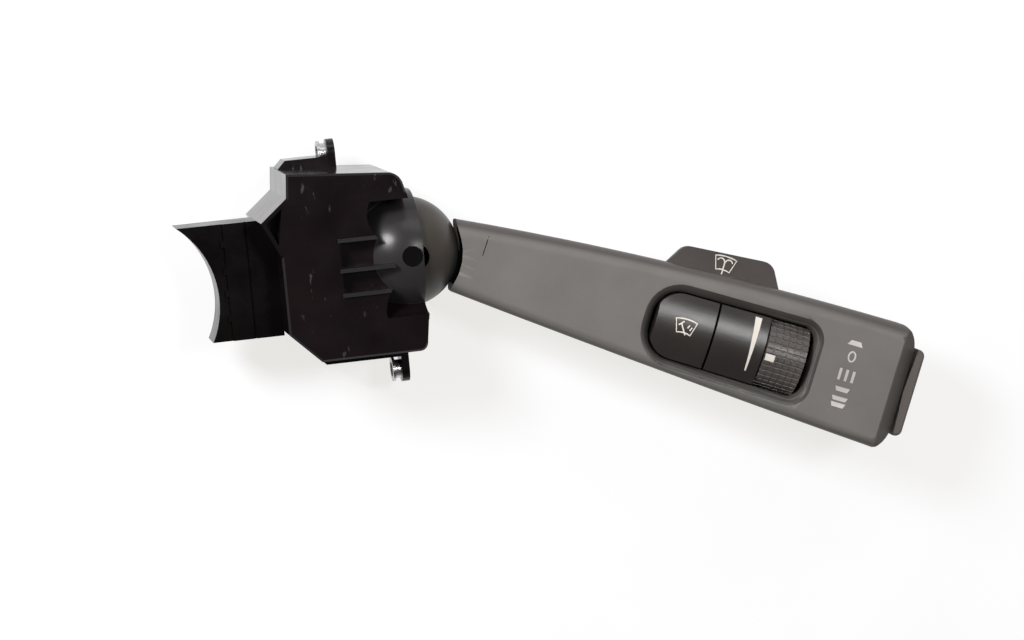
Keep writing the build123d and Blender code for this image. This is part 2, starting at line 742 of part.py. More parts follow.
# ================================================================ ball and core of the lever
with BuildPart(lever_plane) as ball_dome:
    Sphere(ball_r)
    Sphere(ball_r - ball_wall, mode=Mode.SUBTRACT)
    split(bisect_by=lever_station(-ball_back), keep=Keep.TOP)
    with BuildSketch(lever_plane):
        with Locations((pole_slot_reach, 0)):
            Circle(pole_slot / 2)
            Rectangle(2 * ball_r, pole_slot, align=(Align.MAX, Align.CENTER))
    extrude(amount=ball_r, both=True, mode=Mode.SUBTRACT)
    with BuildSketch(lever_station(0)):
        Rectangle(2 * core_half + 2 * fit_gap, 2 * core_half + 2 * fit_gap)
    extrude(amount=ball_r + 1, mode=Mode.SUBTRACT)
finish(ball_dome.part, "ball_dome")

with BuildPart() as lever_core:
    with BuildSketch(lever_station(-core_back)):
        Rectangle(2 * core_half, 2 * core_half)
    extrude(amount=core_back + core_end)
    with BuildSketch(lever_station(-tail_end)):
        Rectangle(2 * tail_half[0], 2 * tail_half[1])
    extrude(amount=tail_end - core_back)
    with BuildSketch(lever_station(-tail_end)):
        Circle(plunger_r + running_gap)
    extrude(amount=spring_length + plunger_length - 3.0, mode=Mode.SUBTRACT)
    with BuildSketch(cross_plane):
        Circle(cross_pin_r + running_gap)
    extrude(amount=core_half + 1, both=True, mode=Mode.SUBTRACT)
    with BuildSketch(lever_plane):
        with Locations(*[(x, 0) for x in core_screws]):
            Circle(screw_shank_r + fit_gap)
    extrude(amount=core_half + 1, both=True, mode=Mode.SUBTRACT)
    # lightening pockets on both sides leave an I-section with webs at the screws
    for side in (1, -1):
        with BuildSketch(side_plane.offset(-side * (core_half - core_pocket))):
            for x in core_pocket_places:
                with Locations((x, 0)):
                    Rectangle(core_pocket_length, 2 * core_half - 3.2)
        extrude(amount=-side * (core_pocket + 1), mode=Mode.SUBTRACT)
finish(lever_core.part, "lever_core")

with BuildPart() as detent_plunger:
    with BuildSketch(lever_station(-plunger_tip + plunger_r)):
        Circle(plunger_r)
    extrude(amount=plunger_length - plunger_r)
    with Locations(lever_point(-plunger_tip + plunger_r, 0, 0)):
        Sphere(plunger_r)
finish(detent_plunger.part, "detent_plunger")

spring_start = -plunger_tip + plunger_length + 0.1
with BuildPart() as detent_spring:
    with BuildLine():
        coil = Helix(
            pitch=(spring_length - 2 * spring_wire_r) / spring_turns,
            height=spring_length - 2 * spring_wire_r, radius=spring_r,
            center=lever_point(spring_start + spring_wire_r, 0, 0), direction=lever_forward,
        )
    with BuildSketch(Plane(origin=coil @ 0, z_dir=coil % 0)):
        Rectangle(2 * spring_wire_r, 2 * spring_wire_r)
    sweep(path=coil, is_frenet=True)
finish(detent_spring.part, "detent_spring")


# ================================================================ lever shells
def lever_body(inset):
    """Solid form of the lever, drawn in by inset on every side."""
    far = shell_end - inset
    stations = lever_stations
    with BuildPart() as body:
        for along, top, low, front, rear, rear_r in stations:
            with BuildSketch(lever_station(along)):
                with BuildLine():
                    Polyline(
                        (low + inset, -rear + inset), (top - inset, -rear + inset),
                        (top - inset, front - inset), (low + inset, front - inset), close=True,
                    )
                make_face()
                fillet(vertices().sort_by(Axis.Y)[:2], rear_r - inset)
                fillet(vertices().sort_by(Axis.Y)[-2:].sort_by(Axis.X)[-1], upper_edge_r - inset)
                fillet(vertices().sort_by(Axis.Y)[-1], lower_edge_r - inset)
        loft()
        with BuildSketch(lever_plane):
            with BuildLine():
                Polyline(
                    (0, lever_stations[-1][2] - 0.5 + inset), (far, lever_stations[-1][2] - 0.5 + inset),
                    (far, lever_stations[-1][1] + 0.5 - inset), (0, lever_stations[-1][1] + 0.5 - inset),
                    close=True,
                )
            make_face()
            fillet(vertices().sort_by(Axis.X)[-2:], shell_end_r - inset)
        extrude(amount=40, both=True, mode=Mode.INTERSECT)
        with BuildSketch(side_plane):
            with BuildLine():
                Polyline(
                    (0, -30), (far - 14, -30), (far - 14, -tip_rear + inset), (far - 6, -tip_rear + 1.2 + inset),
                    (far, -7.6 + inset), (far, tip_front - 4.2 - inset), (far - 4.6, tip_front - inset),
                    (far - 4.6, 30), (0, 30), close=True,
                )
            make_face()
        extrude(amount=60, both=True, mode=Mode.INTERSECT)
    return body.part


lever_outside = lever_body(0)
lever_inside = lever_body(shell_wall)

with BuildSketch() as window_outline:
    with BuildLine():
        Polyline(
            (window_inner[0], 11.6), (window_inner[1], 12.2), (window_inner[1], -8.8),
            (window_inner[0], -8.0), close=True,
        )
    make_face()
    fillet(vertices().sort_by(Axis.X)[:2], window_left_r)
    fillet(vertices().sort_by(Axis.X)[-2:], window_right_r)

shell_screw_places = [(x, 0) for x in core_screws] + [(tip_screw_x, tip_screw_y)]


def front_depth(along):
    """Height of the lever's front face above its middle plane."""
    first, last = lever_stations[0], lever_stations[2]
    return first[3] + (last[3] - first[3]) * (along - first[0]) / (last[0] - first[0])


def rear_depth(along):
    """Depth of the lever's rear face below its middle plane."""
    for near, far in zip(lever_stations, lever_stations[1:]):
        if along <= far[0]:
            return near[4] + (far[4] - near[4]) * (along - near[0]) / (far[0] - near[0])
    return lever_stations[-1][4]


with BuildPart() as front_shell:
    add(lever_outside)
    add(lever_inside, mode=Mode.SUBTRACT)
    # collar round the window, solid out to the lower wall
    with BuildSketch(lever_plane.offset(collar_depth)):
        add(window_outline.sketch)
        offset(amount=collar_wall)
        with Locations((window_inner[0], 0)):
            Rectangle(
                window_inner[1] - window_inner[0], 2 * shell_end_r + collar_wall,
                align=(Align.MIN, Align.MAX),
            )
    extrude(amount=20)
    # bosses for the shell screws, over the core and at the tip
    for x, y in shell_screw_places:
        with BuildSketch(lever_plane.offset(core_half if x < core_end else shell_joint)):
            with Locations((x, y)):
                Circle(shell_boss_r)
        extrude(amount=20)
    with BuildSketch(lever_plane.offset(rocker_pin_top)):
        with Locations((rocker_x, rocker_y)):
            Circle(2.4)
    extrude(amount=20)
    add(lever_outside, mode=Mode.INTERSECT)
    split(bisect_by=lever_plane.offset(shell_joint), keep=Keep.TOP)
    with Locations((0, 0, pivot_height)):
        Sphere(ball_r + base_gap, mode=Mode.SUBTRACT)
    with BuildSketch(lever_plane):
        add(window_outline.sketch)
    extrude(amount=20, mode=Mode.SUBTRACT)
    with BuildSketch(lever_plane.offset(window_bevel_z)):
        add(window_outline.sketch)
    extrude(amount=4, taper=-window_bevel, mode=Mode.SUBTRACT)
    with BuildSketch(lever_plane.offset(shell_joint)):
        with Locations(*shell_screw_places):
            Circle(screw_shank_r - fit_gap)
    extrude(amount=screw_grip, mode=Mode.SUBTRACT)
    with BuildSketch(lever_plane):
        with Locations((rocker_x, rocker_y)):
            Circle(rocker_pin_r + fit_gap / 2)
    extrude(amount=rocker_pin_top + 1.5, mode=Mode.SUBTRACT)
    with BuildSketch(lever_station(shell_end - shell_wall - 1)):
        with Locations((rocker_y, rocker_z)):
            Rectangle(rocker_stem[0] + 3.0, rocker_stem[1] + 1.6)
    extrude(amount=6, mode=Mode.SUBTRACT)
finish(front_shell.part, "front_shell")

with BuildPart() as rear_shell:
    add(lever_outside)
    add(lever_inside, mode=Mode.SUBTRACT)
    for x, y in shell_screw_places:
        top = -core_half if x < core_end else shell_joint
        with BuildSketch(lever_plane.offset(top)):
            with Locations((x, y)):
                Circle(shell_boss_r + 0.8)
        extrude(amount=-20)
    with BuildSketch(lever_plane.offset(carrier_z)):
        with Locations(*carrier_posts):
            Circle(1.8)
    extrude(amount=-20)
    with BuildSketch(lever_plane.offset(rocker_pin_low + 1.5)):
        with Locations((rocker_x, rocker_y)):
            Circle(2.4)
    extrude(amount=-20)
    add(lever_outside, mode=Mode.INTERSECT)
    split(bisect_by=lever_plane.offset(shell_joint), keep=Keep.BOTTOM)
    with Locations((0, 0, pivot_height)):
        Sphere(ball_r + base_gap, mode=Mode.SUBTRACT)
    # finger wing on the upper side
    with BuildSketch(lever_plane.offset(shell_joint - wing_thickness)):
        with BuildLine():
            Polyline(*wing_points, close=True)
        make_face()
        fillet(vertices().sort_by(Axis.Y)[-2:], wing_r)
    extrude(amount=wing_thickness)
    for x, y in shell_screw_places:
        with BuildSketch(lever_plane.offset(-rear_depth(x) + head_recess)):
            with Locations((x, y)):
                Circle(screw_head_r + 0.3)
        extrude(amount=-20, mode=Mode.SUBTRACT)
        with BuildSketch(lever_plane):
            with Locations((x, y)):
                Circle(screw_shank_r + fit_gap)
        extrude(amount=-20, mode=Mode.SUBTRACT)
    with BuildSketch(lever_plane.offset(rocker_pin_low)):
        with Locations((rocker_x, rocker_y)):
            Circle(rocker_pin_r + fit_gap / 2)
    extrude(amount=10, mode=Mode.SUBTRACT)
    with BuildSketch(lever_station(shell_end - shell_wall - 1)):
        with Locations((rocker_y, rocker_z)):
            Rectangle(rocker_stem[0] + 3.0, rocker_stem[1] + 1.6)
    extrude(amount=6, mode=Mode.SUBTRACT)
finish(rear_shell.part, "rear_shell")

with BuildPart() as shell_screws:
    for x, y in shell_screw_places:
        with BuildSketch(lever_plane.offset(-rear_depth(x) + head_recess)):
            with Locations((x, y)):
                Circle(screw_head_r)
        extrude(amount=-screw_head_height)
        with BuildSketch(lever_plane.offset(-rear_depth(x) + head_recess)):
            with Locations((x, y)):
                Circle(screw_shank_r - fit_gap)
        extrude(amount=rear_depth(x) - head_recess + shell_joint + screw_grip - 0.6)
finish(shell_screws.part, "shell_screws")


# ================================================================ controls in the window
def crowned(part_outline, low, crown_z):
    """Prism on the outline, from low up to a crown across the lever."""
    with BuildPart() as block:
        with BuildSketch(lever_plane.offset(low)):
            add(part_outline)
        extrude(amount=20)
        with BuildSketch(lever_station(0)):
            with Locations((control_y, crown_z - bridge_crown_r)):
                Circle(bridge_crown_r)
        extrude(amount=shell_end, mode=Mode.INTERSECT)
    return block.part


def window_part(left, right, gap):
    """Stretch of the window's outline between two stations, with a gap round it."""
    with BuildSketch() as stretch:
        add(window_outline.sketch)
        offset(amount=-gap)
        with Locations((left, 0)):
            Rectangle(right - left, 80, align=(Align.MIN, Align.CENTER), mode=Mode.INTERSECT)
    return stretch.sketch


with BuildPart() as sensor_button:
    add(crowned(window_part(button_left, button_right, button_gap), button_low, bridge_crown_z))
finish(sensor_button.part, "sensor_button")

bridge_right = wheel_start - wheel_gap
wheel_end = wheel_start + wheel_width
rail_gap = wheel_r + wheel_gap
with BuildPart() as control_carrier:
    add(crowned(window_part(bridge_left, bridge_right, button_gap), carrier_z, bridge_crown_z))
    with BuildSketch(lever_plane.offset(carrier_z)):
        with Locations((carrier_left, control_y)):
            Rectangle(bridge_right - carrier_left, carrier_width, align=(Align.MIN, Align.CENTER))
    extrude(amount=carrier_floor)
    with BuildSketch(lever_plane.offset(carrier_z)):
        with Locations((bridge_right - carrier_bar, control_y)):
            Rectangle(
                wheel_end + 3.0 + carrier_wall - bridge_right + carrier_bar,
                2 * rail_gap + 2 * carrier_wall, align=(Align.MIN, Align.CENTER),
            )
        with Locations((bridge_right, control_y)):
            Rectangle(
                wheel_end + 3.0 - bridge_right, 2 * rail_gap,
                align=(Align.MIN, Align.CENTER), mode=Mode.SUBTRACT,
            )
    extrude(amount=2.6)
    with BuildSketch(lever_station(wheel_end + 3.0)):
        with Locations((control_y, wheel_z)):
            Circle(axle_r + 2.0)
    extrude(amount=carrier_wall)
    with BuildSketch(lever_plane.offset(carrier_z + carrier_floor)):
        add(window_part(bridge_left + carrier_wall, bridge_right - carrier_wall, button_gap + 1.6))
    extrude(amount=bridge_crown_z - carrier_z - carrier_floor - 4.0, mode=Mode.SUBTRACT)
    with BuildSketch(lever_station(bridge_right - carrier_wall - 1)):
        with Locations((control_y, wheel_z)):
            Circle(axle_r + fit_gap / 2)
    extrude(amount=40, mode=Mode.SUBTRACT)
    # seat of the click spring in the upper rail
    with BuildSketch(lever_station(wheel_start + 2)):
        with Locations((control_y + rail_gap, carrier_z + 1.3)):
            Rectangle(click_seat, 2.0, align=(Align.MIN, Align.CENTER))
    extrude(amount=wheel_width - 4, mode=Mode.SUBTRACT)
finish(control_carrier.part, "control_carrier")

with BuildPart() as wheel_axle:
    with BuildSketch(lever_station(bridge_right - carrier_wall)):
        with Locations((control_y, wheel_z)):
            Circle(axle_r)
    extrude(amount=wheel_end + 3.0 + 2 * carrier_wall - bridge_right)
finish(wheel_axle.part, "wheel_axle")

with BuildPart() as thumbwheel:
    with BuildSketch(lever_station(wheel_start)):
        with Locations((control_y, wheel_z)):
            Circle(wheel_r)
            with PolarLocations(wheel_r, wheel_teeth):
                Circle(tooth_r, mode=Mode.SUBTRACT)
    extrude(amount=wheel_width)
    with BuildSketch(lever_station(wheel_start)):
        with Locations((control_y, wheel_z)):
            Circle(axle_r + running_gap)
    extrude(amount=wheel_width, mode=Mode.SUBTRACT)
    with BuildSketch(lever_station(wheel_start)):
        with Locations((control_y, wheel_z)):
            Circle(wheel_r - wheel_rim)
            Circle(axle_r + wheel_hub, mode=Mode.SUBTRACT)
    extrude(amount=wheel_dish, mode=Mode.SUBTRACT)
    # rings that cross the grooves
    for ring in range(1, wheel_rings + 1):
        ring_place = wheel_start + wheel_width * ring / (wheel_rings + 1) - ring_width / 2
        with BuildSketch(lever_station(ring_place)):
            with Locations((control_y, wheel_z)):
                Circle(wheel_r + 1)
                Circle(wheel_r - ring_depth, mode=Mode.SUBTRACT)
        extrude(amount=ring_width, mode=Mode.SUBTRACT)
finish(thumbwheel.part, "thumbwheel")

with BuildPart() as wheel_click_spring:
    with BuildSketch(lever_station(wheel_start + 2)):
        with Locations((control_y + rail_gap + click_seat - click_blade, carrier_z + 1.3)):
            Rectangle(click_blade, 2.0, align=(Align.MIN, Align.CENTER))
    extrude(amount=wheel_width - 4)
finish(wheel_click_spring.part, "wheel_click_spring")

board_surface = carrier_z + carrier_floor
with BuildPart() as lever_board:
    with BuildSketch(lever_plane.offset(board_surface)):
        with Locations((carrier_left, control_y)):
            Rectangle(
                bridge_left - 0.6 - carrier_left, carrier_width - 2, align=(Align.MIN, Align.CENTER)
            )
    extrude(amount=lever_board_thickness)
finish(lever_board.part, "lever_board")

button_x = (button_left + button_right) / 2
with BuildPart() as button_pad:
    with BuildSketch(lever_plane.offset(board_surface + lever_board_thickness)):
        with Locations((button_x, control_y)):
            Rectangle(10, 9)
            fillet(vertices(), 1.5)
    extrude(amount=0.6)
    with BuildSketch(lever_plane.offset(board_surface + lever_board_thickness + 0.6)):
        with Locations((button_x, control_y)):
            Circle(2.6)
    extrude(amount=button_low - board_surface - lever_board_thickness - 0.6 - button_travel - 0.3,
            taper=20)
finish(button_pad.part, "button_pad")


# ================================================================ end rocker
rocker_face = shell_end + rocker_gap
rocker_fall = rocker_half * tan(radians(rocker_throw))
with BuildPart() as end_rocker:
    with BuildSketch(lever_plane.offset(rocker_pad_z - rocker_height / 2)):
        with BuildLine():
            Polyline(
                (rocker_face, rocker_y),
                (rocker_face + rocker_fall, rocker_y + rocker_half),
                (rocker_face + rocker_thickness, rocker_y + rocker_half),
                (rocker_face + rocker_thickness, rocker_y - rocker_half),
                (rocker_face + rocker_fall, rocker_y - rocker_half), close=True,
            )
        make_face()
        fillet(vertices().sort_by(Axis.X)[-2:], rocker_corner_r)
    extrude(amount=rocker_height)
    chamfer(end_rocker.faces().sort_by(Axis(lever_plane.origin, lever_forward))[-1].edges(), rocker_edge)
    with BuildSketch(lever_station(rocker_x)):
        with Locations((rocker_y, rocker_z)):
            Rectangle(rocker_stem[0], rocker_stem[1])
    extrude(amount=rocker_face + rocker_fall - rocker_x)
    with BuildSketch(lever_plane.offset(rocker_z - rocker_stem[1] / 2)):
        with Locations((rocker_x, rocker_y)):
            Circle(rocker_stem[0] / 2)
    extrude(amount=rocker_stem[1])
    with BuildSketch(lever_plane.offset(rocker_z - 10)):
        with Locations((rocker_x, rocker_y)):
            Circle(rocker_pin_r + running_gap)
    extrude(amount=20, mode=Mode.SUBTRACT)
finish(end_rocker.part, "end_rocker")

with BuildPart() as rocker_pin:
    with BuildSketch(lever_plane.offset(rocker_pin_low)):
        with Locations((rocker_x, rocker_y)):
            Circle(rocker_pin_r)
    extrude(amount=rocker_pin_top + 1.5 - rocker_pin_low)
finish(rocker_pin.part, "rocker_pin")
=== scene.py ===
from math import cos, radians, sin, sqrt

import bpy
from mathutils import Matrix, Vector


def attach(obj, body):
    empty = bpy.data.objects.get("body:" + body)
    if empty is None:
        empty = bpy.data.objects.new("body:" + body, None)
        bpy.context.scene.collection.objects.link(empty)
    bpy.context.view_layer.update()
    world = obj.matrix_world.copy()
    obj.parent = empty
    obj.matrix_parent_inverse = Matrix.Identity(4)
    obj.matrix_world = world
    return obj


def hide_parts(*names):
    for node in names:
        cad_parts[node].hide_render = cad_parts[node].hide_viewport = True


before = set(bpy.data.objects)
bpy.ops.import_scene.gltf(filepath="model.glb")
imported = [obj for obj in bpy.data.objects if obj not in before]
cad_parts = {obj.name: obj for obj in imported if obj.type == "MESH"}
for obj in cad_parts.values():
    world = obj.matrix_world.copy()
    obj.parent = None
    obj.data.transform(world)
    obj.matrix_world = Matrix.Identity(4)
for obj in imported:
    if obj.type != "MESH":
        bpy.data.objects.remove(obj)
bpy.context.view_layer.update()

# Combination stalk switch. Sizes are in millimetres and become metres through MM; the frame is the
# model's own: +Z out of the front cover, +X along the lever side, +Y up as fitted.
MM = 0.001

# ------------------------------------------------------------------ the lever's own frame
BALL_CENTRE = Vector((0, 0, 21.0)) * MM
LEVER_DROOP = radians(22.3)
LEVER_RISE = radians(4.0)
lever_forward = Vector((
    cos(LEVER_DROOP) * cos(LEVER_RISE), -sin(LEVER_DROOP) * cos(LEVER_RISE), sin(LEVER_RISE)
))
lever_across = Vector((sin(LEVER_DROOP), cos(LEVER_DROOP), 0))
lever_outward = lever_forward.cross(lever_across)
lever_frame = Matrix.Translation(BALL_CENTRE) @ Matrix(
    (lever_forward, lever_across, lever_outward)
).transposed().to_4x4()

CONTROL_LINE = 1.75        # centre line of the button, bridge and wheel
WHEEL_AXIS = -0.4          # thumbwheel's axle above the lever's middle plane
WHEEL_R = 10.8
PRINT_THICKNESS = 0.05
DROP_HEIGHT = 30.0         # prints are dropped onto their surface from here


def top_of(solid):
    """Height of a piece's front surface above the lever's middle plane, as a function of x and y."""

    def height(x, y):
        start = lever_frame @ Vector((x * MM, y * MM, DROP_HEIGHT * MM))
        hit, place = solid.ray_cast(start, -lever_outward)[:2]
        if not hit:
            raise ValueError(f"{solid.name} has no surface at {x:.1f}, {y:.1f}")
        return (lever_frame.inverted() @ place).z / MM

    return height


def wheel_top(x, y):
    """Height of the thumbwheel's drum over its grooves."""
    return WHEEL_AXIS + sqrt(WHEEL_R**2 - (y - CONTROL_LINE) ** 2)


# ------------------------------------------------------------------ materials
MASK_EDGE = 0.05 * MM      # half the width over which a ball's mask fades
DRIFT_SCALE = 60           # noise scales are in features per metre
GLOSS_SCALE = 130
SCUFF_SCALE = 620
SCUFF_PATCH_SCALE = 70     # scuffs gather in patches of this scale
SCUFF_STRETCH = (1, 0.4, 1)
TARNISH_SCALE = 300
METAL_GLOSS_SCALE = 900
METAL_RELIEF_SCALE = 1500


def new_material(name):
    """A material with its nodes, links and main shader."""
    material = bpy.data.materials.new(name)
    material.use_nodes = True
    tree = material.node_tree
    return material, tree, tree.nodes["Principled BSDF"]


def noise(tree, scale, detail=4.0, stretch=(1, 1, 1)):
    """Noise in the object's own coordinates; scale is in features per metre."""
    coordinates = tree.nodes.new("ShaderNodeTexCoord")
    mapping = tree.nodes.new("ShaderNodeMapping")
    mapping.inputs["Scale"].default_value = stretch
    texture = tree.nodes.new("ShaderNodeTexNoise")
    texture.inputs["Scale"].default_value = scale
    texture.inputs["Detail"].default_value = detail
    tree.links.new(coordinates.outputs["Object"], mapping.inputs["Vector"])
    tree.links.new(mapping.outputs["Vector"], texture.inputs["Vector"])
    return texture.outputs["Fac"]


def spread(tree, factor, low, high, start=0.35, stop=0.65):
    """A value that runs from low to high as the factor goes from start to stop."""
    ranged = tree.nodes.new("ShaderNodeMapRange")
    for socket, value in (("From Min", start), ("From Max", stop), ("To Min", low), ("To Max", high)):
        ranged.inputs[socket].default_value = value
    tree.links.new(factor, ranged.inputs["Value"])
    return ranged.outputs["Result"]


def tint(tree, factor, first, second):
    """A colour between two, by the factor."""
    mix = tree.nodes.new("ShaderNodeMix")
    mix.data_type = "RGBA"
    mix.inputs["A"].default_value = (*first, 1)
    mix.inputs["B"].default_value = (*second, 1)
    tree.links.new(factor, mix.inputs["Factor"])
    return mix.outputs["Result"]


def bump(tree, shader, height, distance):
    """Relief of the given depth in metres."""
    node = tree.nodes.new("ShaderNodeBump")
    node.inputs["Strength"].default_value = 1.0
    node.inputs["Distance"].default_value = distance
    tree.links.new(height, node.inputs["Height"])
    tree.links.new(node.outputs["Normal"], shader.inputs["Normal"])


def inside_ball(tree, centre, radius):
    """1 within a ball round the centre, 0 outside it."""
    coordinates = tree.nodes.new("ShaderNodeTexCoord")
    away = tree.nodes.new("ShaderNodeVectorMath")
    away.operation = "DISTANCE"
    away.inputs[1].default_value = centre
    tree.links.new(coordinates.outputs["Object"], away.inputs[0])
    return spread(tree, away.outputs["Value"], 1, 0, radius - MASK_EDGE, radius + MASK_EDGE)


def beyond(tree, direction, start, stop):
    """0 up to the plane at start along the direction, 1 past the plane at stop."""
    coordinates = tree.nodes.new("ShaderNodeTexCoord")
    along = tree.nodes.new("ShaderNodeVectorMath")
    along.operation = "DOT_PRODUCT"
    along.inputs[1].default_value = direction
    tree.links.new(coordinates.outputs["Object"], along.inputs[0])
    return spread(tree, along.outputs["Value"], 0, 1, start, stop)


def paint_light_and_gloss(material, mask, colour, roughness):
    """Paint light and shade into a plastic's colour where the mask is 1, and give it another gloss there."""
    tree = material.node_tree
    shader = tree.nodes["Principled BSDF"]
    for socket, kind, value in (("Base Color", "RGBA", (*colour, 1)), ("Roughness", "FLOAT", roughness)):
        mix = tree.nodes.new("ShaderNodeMix")
        mix.data_type = kind
        tree.links.new(shader.inputs[socket].links[0].from_socket, mix.inputs["A"])
        mix.inputs["B"].default_value = value
        tree.links.new(mask, mix.inputs["Factor"])
        tree.links.new(mix.outputs["Result"], shader.inputs[socket])


def moulded(name, dark, light, rough, grain, relief, scuff=None, gloss=0.5):
    """Moulded plastic: slow colour drift, uneven gloss, a fine grain and, if given, pale scuffs."""
    material, tree, shader = new_material(name)
    shader.inputs["Specular IOR Level"].default_value = gloss
    drift = spread(tree, noise(tree, DRIFT_SCALE), 0, 1)
    colour = tint(tree, drift, dark, light)
    if scuff:
        speck = spread(tree, noise(tree, SCUFF_SCALE, 2.0, SCUFF_STRETCH), 0, 1, 0.66, 0.74)
        patch = spread(tree, noise(tree, SCUFF_PATCH_SCALE, 2.0), 0, 1, 0.50, 0.58)
        both = tree.nodes.new("ShaderNodeMath")
        both.operation = "MULTIPLY"
        tree.links.new(speck, both.inputs[0])
        tree.links.new(patch, both.inputs[1])
        mix = tree.nodes.new("ShaderNodeMix")
        mix.data_type = "RGBA"
        mix.inputs["B"].default_value = (*scuff, 1)
        tree.links.new(colour, mix.inputs["A"])
        tree.links.new(both.outputs[0], mix.inputs["Factor"])
        colour = mix.outputs["Result"]
    tree.links.new(colour, shader.inputs["Base Color"])
    tree.links.new(spread(tree, noise(tree, GLOSS_SCALE), *rough), shader.inputs["Roughness"])
    bump(tree, shader, noise(tree, grain, 3.0), relief)
    return material


def metal(name, dark, light, rough):
    """Bare metal with an uneven tarnish and a fine relief."""
    material, tree, shader = new_material(name)
    shader.inputs["Metallic"].default_value = 1.0
    tarnish = spread(tree, noise(tree, TARNISH_SCALE), 0, 1)
    tree.links.new(tint(tree, tarnish, dark, light), shader.inputs["Base Color"])
    tree.links.new(spread(tree, noise(tree, METAL_GLOSS_SCALE, 3.0), *rough), shader.inputs["Roughness"])
    bump(tree, shader, noise(tree, METAL_RELIEF_SCALE, 2.0), 0.01 * MM)
    return material


PLATE_Z = 39.6 * MM         # front plate of the housing
RIB_TOPS = (PLATE_Z + 0.3 * MM, PLATE_Z + 0.5 * MM)
SOCKET_R = 18.0 * MM
BOWL_R = SOCKET_R + 0.1 * MM
NECK_START = 12.4 * MM      # painted shade: the ball is painted darker between these distances along the lever
NECK_END = 14.6 * MM
FACE_TAPER = 0.0232         # the face rises by this much for each millimetre along the lever
FLANK_START = 5.75 * MM     # painted shade: the lever's sides are painted darker between these depths, from the ball's centre
FLANK_END = 4.9 * MM

housing_black = moulded(
    "housing_black", (0.0045, 0.0026, 0.0032), (0.0080, 0.0050, 0.0058), (0.13, 0.18),
    grain=500, relief=0.02 * MM, scuff=(0.050, 0.042, 0.042), gloss=0.3,
)
# Painted highlight: the rib tops are painted a lighter black than the plate, with a rougher gloss.
rib_top_highlight = beyond(housing_black.node_tree, (0, 0, 1), *RIB_TOPS)
paint_light_and_gloss(housing_black, rib_top_highlight, (0.010, 0.009, 0.009), 0.34)
# Painted reflection: the socket's bowl is painted a lighter black than the plate; its rougher gloss is its
# own.
socket_bowl_reflection = inside_ball(housing_black.node_tree, BALL_CENTRE, BOWL_R)
paint_light_and_gloss(housing_black, socket_bowl_reflection, (0.026, 0.024, 0.024), 0.29)
saddle_black = moulded(
    "saddle_black", (0.0020, 0.0012, 0.0014), (0.0040, 0.0028, 0.0030), (0.20, 0.28),
    grain=500, relief=0.02 * MM, gloss=0.15,
)
ball_black = moulded(
    "ball_black", (0.036, 0.029, 0.023), (0.045, 0.037, 0.030), (0.36, 0.44), grain=900, relief=0.01 * MM
)
# Painted shade: the ball is painted near black and dull where it meets the lever.
ball_along = lever_forward.dot(BALL_CENTRE)
neck_shade = beyond(ball_black.node_tree, lever_forward, ball_along + NECK_START, ball_along + NECK_END)
paint_light_and_gloss(ball_black, neck_shade, (0.003, 0.003, 0.003), 0.8)
core_black = moulded(
    "core_black", (0.002, 0.002, 0.002), (0.003, 0.003, 0.003), (0.70, 0.80),
    grain=900, relief=0.01 * MM, gloss=0.05,
)
lever_charcoal = moulded(
    "lever_charcoal", (0.130, 0.121, 0.113), (0.148, 0.138, 0.129), (0.48, 0.58),
    grain=2600, relief=0.05 * MM,
)
# Painted shade: the lever's sides are painted darker below its face.
below_face = FACE_TAPER * lever_forward - lever_outward
ball_depth = below_face.dot(BALL_CENTRE)
flank_shade = beyond(lever_charcoal.node_tree, below_face, ball_depth - FLANK_START, ball_depth - FLANK_END)
paint_light_and_gloss(lever_charcoal, flank_shade, (0.072, 0.062, 0.056), 0.50)
# Painted shade: a darker copy of the lever's plastic, for the rounded edge of the window's recess.
recess_shade = moulded(
    "recess_shade", (0.030, 0.026, 0.024), (0.040, 0.035, 0.032), (0.40, 0.46), grain=2200, relief=0.02 * MM
)
wing_charcoal = moulded(
    "wing_charcoal", (0.042, 0.033, 0.030), (0.052, 0.042, 0.038), (0.52, 0.62), grain=2600, relief=0.05 * MM
)
control_black = moulded(
    "control_black", (0.022, 0.018, 0.017), (0.030, 0.025, 0.023), (0.28, 0.32), grain=2200, relief=0.02 * MM
)
wheel_black = moulded(
    "wheel_black", (0.070, 0.061, 0.057), (0.092, 0.082, 0.077), (0.32, 0.38), grain=2200, relief=0.03 * MM
)
rocker_charcoal = moulded(
    "rocker_charcoal", (0.085, 0.071, 0.062), (0.100, 0.085, 0.074), (0.46, 0.56),
    grain=2600, relief=0.04 * MM,
)
natural_nylon = moulded(
    "natural_nylon", (0.52, 0.49, 0.42), (0.60, 0.57, 0.50), (0.45, 0.55), grain=900, relief=0.01 * MM
)
pad_silicone = moulded(
    "pad_silicone", (0.20, 0.20, 0.20), (0.25, 0.25, 0.25), (0.65, 0.75), grain=900, relief=0.01 * MM
)
board_green = moulded(
    "board_green", (0.010, 0.070, 0.030), (0.016, 0.095, 0.042), (0.25, 0.35), grain=400, relief=0.01 * MM
)
print_cream = moulded(
    "print_cream", (0.66, 0.61, 0.55), (0.78, 0.73, 0.66), (0.55, 0.65), grain=1800, relief=0.01 * MM
)
print_faded = moulded(
    "print_faded", (0.42, 0.39, 0.38), (0.60, 0.56, 0.54), (0.55, 0.65), grain=1800, relief=0.01 * MM
)
zinc_steel = metal("zinc_steel", (0.50, 0.50, 0.50), (0.64, 0.64, 0.62), (0.24, 0.38))
spring_steel = metal("spring_steel", (0.40, 0.40, 0.40), (0.52, 0.52, 0.52), (0.26, 0.36))
contact_brass = metal("contact_brass", (0.60, 0.44, 0.20), (0.74, 0.58, 0.30), (0.24, 0.36))

